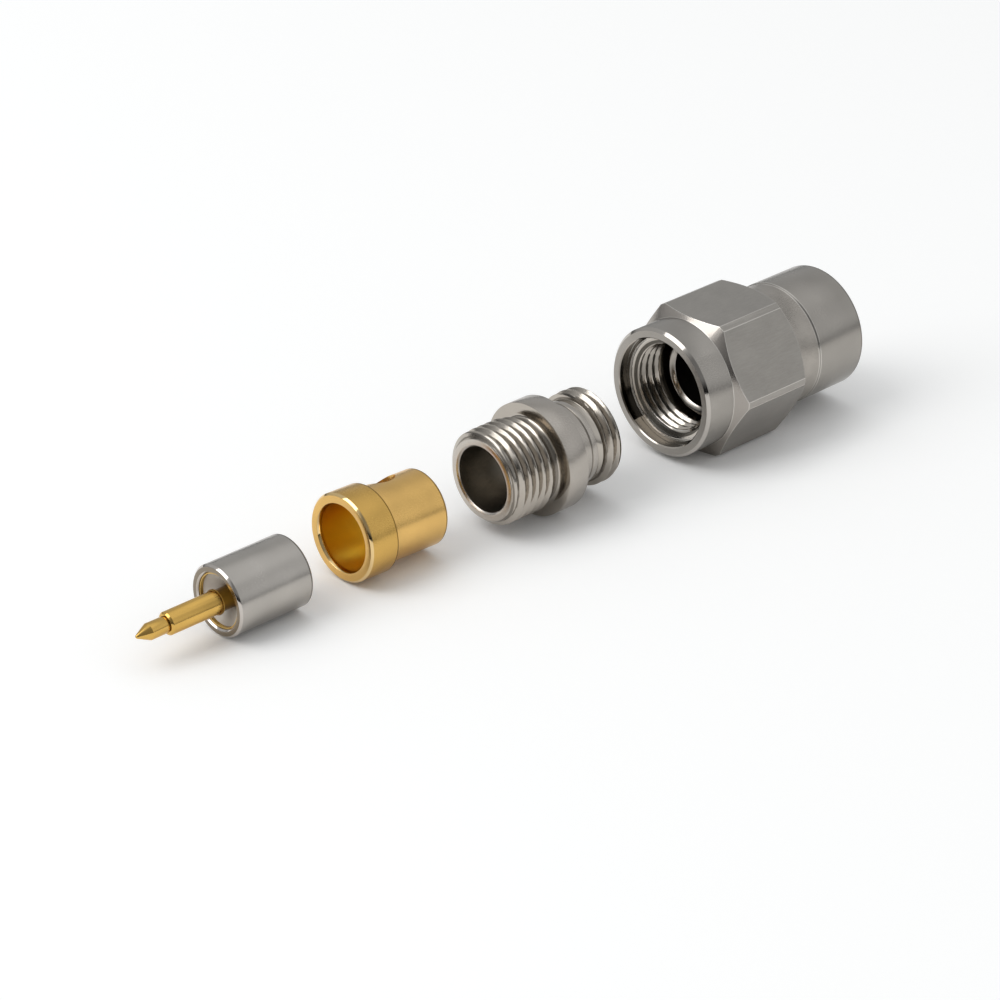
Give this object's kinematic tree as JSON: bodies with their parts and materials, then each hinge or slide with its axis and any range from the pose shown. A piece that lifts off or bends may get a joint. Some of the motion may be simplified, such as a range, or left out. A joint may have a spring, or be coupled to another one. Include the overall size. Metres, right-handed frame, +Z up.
{
  "type": "coaxial cable connector",
  "caption": "Screw-together coaxial plug for semi-rigid cable, shown apart in a row: pin in bead ring, gold solder sleeve, threaded body, hexagon clamp nut.",
  "frame": {"origin": "middle of the row's bounding box, on the surface that the pieces lie on", "axes": "+X along the row from the pin's point to the cable end of the nut, +Y to the far side of the row, +Z up"},
  "size_m": [0.0478, 0.009, 0.0079],
  "materials": {
    "gold_polished": "gold plated, fine turned, glossy",
    "gold_brushed": "gold plated, satin turned",
    "steel_satin": "satin, brushed along its length",
    "steel_turned": "bright turned, passivated",
    "steel_milled": "fine milled flats, turned ring and tube",
    "bead_plastic": "fine turned, matt"
  },
  "bodies": {
    "root": {"contact_pin": "gold_polished", "bead_ring": "steel_satin", "bead_shell": "gold_polished", "bead_insulator": "bead_plastic", "solder_sleeve": "gold_brushed", "threaded_body": "steel_turned", "clamp_nut": "steel_milled"}
  },
  "joints": []
}
